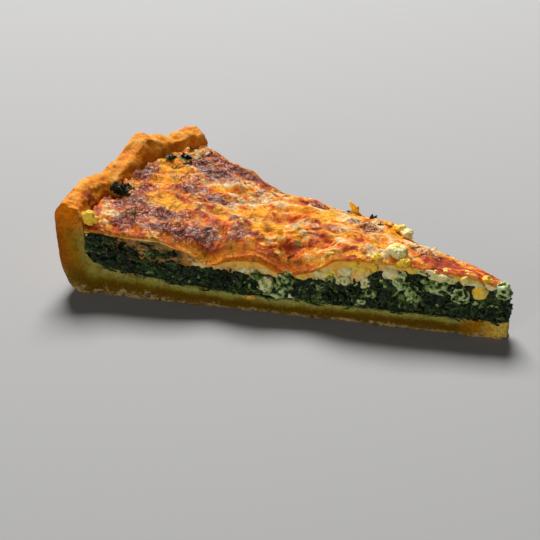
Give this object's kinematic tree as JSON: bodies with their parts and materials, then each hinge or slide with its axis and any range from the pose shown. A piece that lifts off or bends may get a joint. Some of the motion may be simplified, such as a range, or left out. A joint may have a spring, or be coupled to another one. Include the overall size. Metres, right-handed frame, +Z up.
{
  "type": "spinach quiche slice",
  "caption": "Slice of spinach quiche with a raised pastry rim, layers of chopped spinach and pale custard, browned cheese on top and soft lumps of cheese at the cut faces.",
  "frame": {"origin": "on the table, under the middle of the slice's bounding box", "axes": "+X along the slice from the pastry rim to the tip, +Z up, -Y towards the cut face seen at the front"},
  "size_m": [0.1366, 0.0754, 0.0312],
  "materials": {
    "pastry": "baked golden pastry, matt",
    "spinach": "dark cooked leaves, moist",
    "custard": "set egg custard, satin",
    "browned_cheese": "melted cheese browned in patches, oily gloss",
    "pale_cheese": "soft white cheese, satin"
  },
  "bodies": {
    "root": {"pastry_crust": "pastry", "spinach_layer": "spinach", "custard_layer": "custard", "cheese_topping": "browned_cheese", "cheese_lump_1": "pale_cheese", "cheese_lump_2": "pale_cheese", "cheese_lump_3": "pale_cheese", "cheese_lump_4": "pale_cheese", "cheese_lump_5": "pale_cheese", "cheese_lump_6": "pale_cheese", "cheese_lump_7": "pale_cheese", "cheese_lump_8": "pale_cheese", "cheese_lump_9": "pale_cheese"}
  },
  "joints": []
}
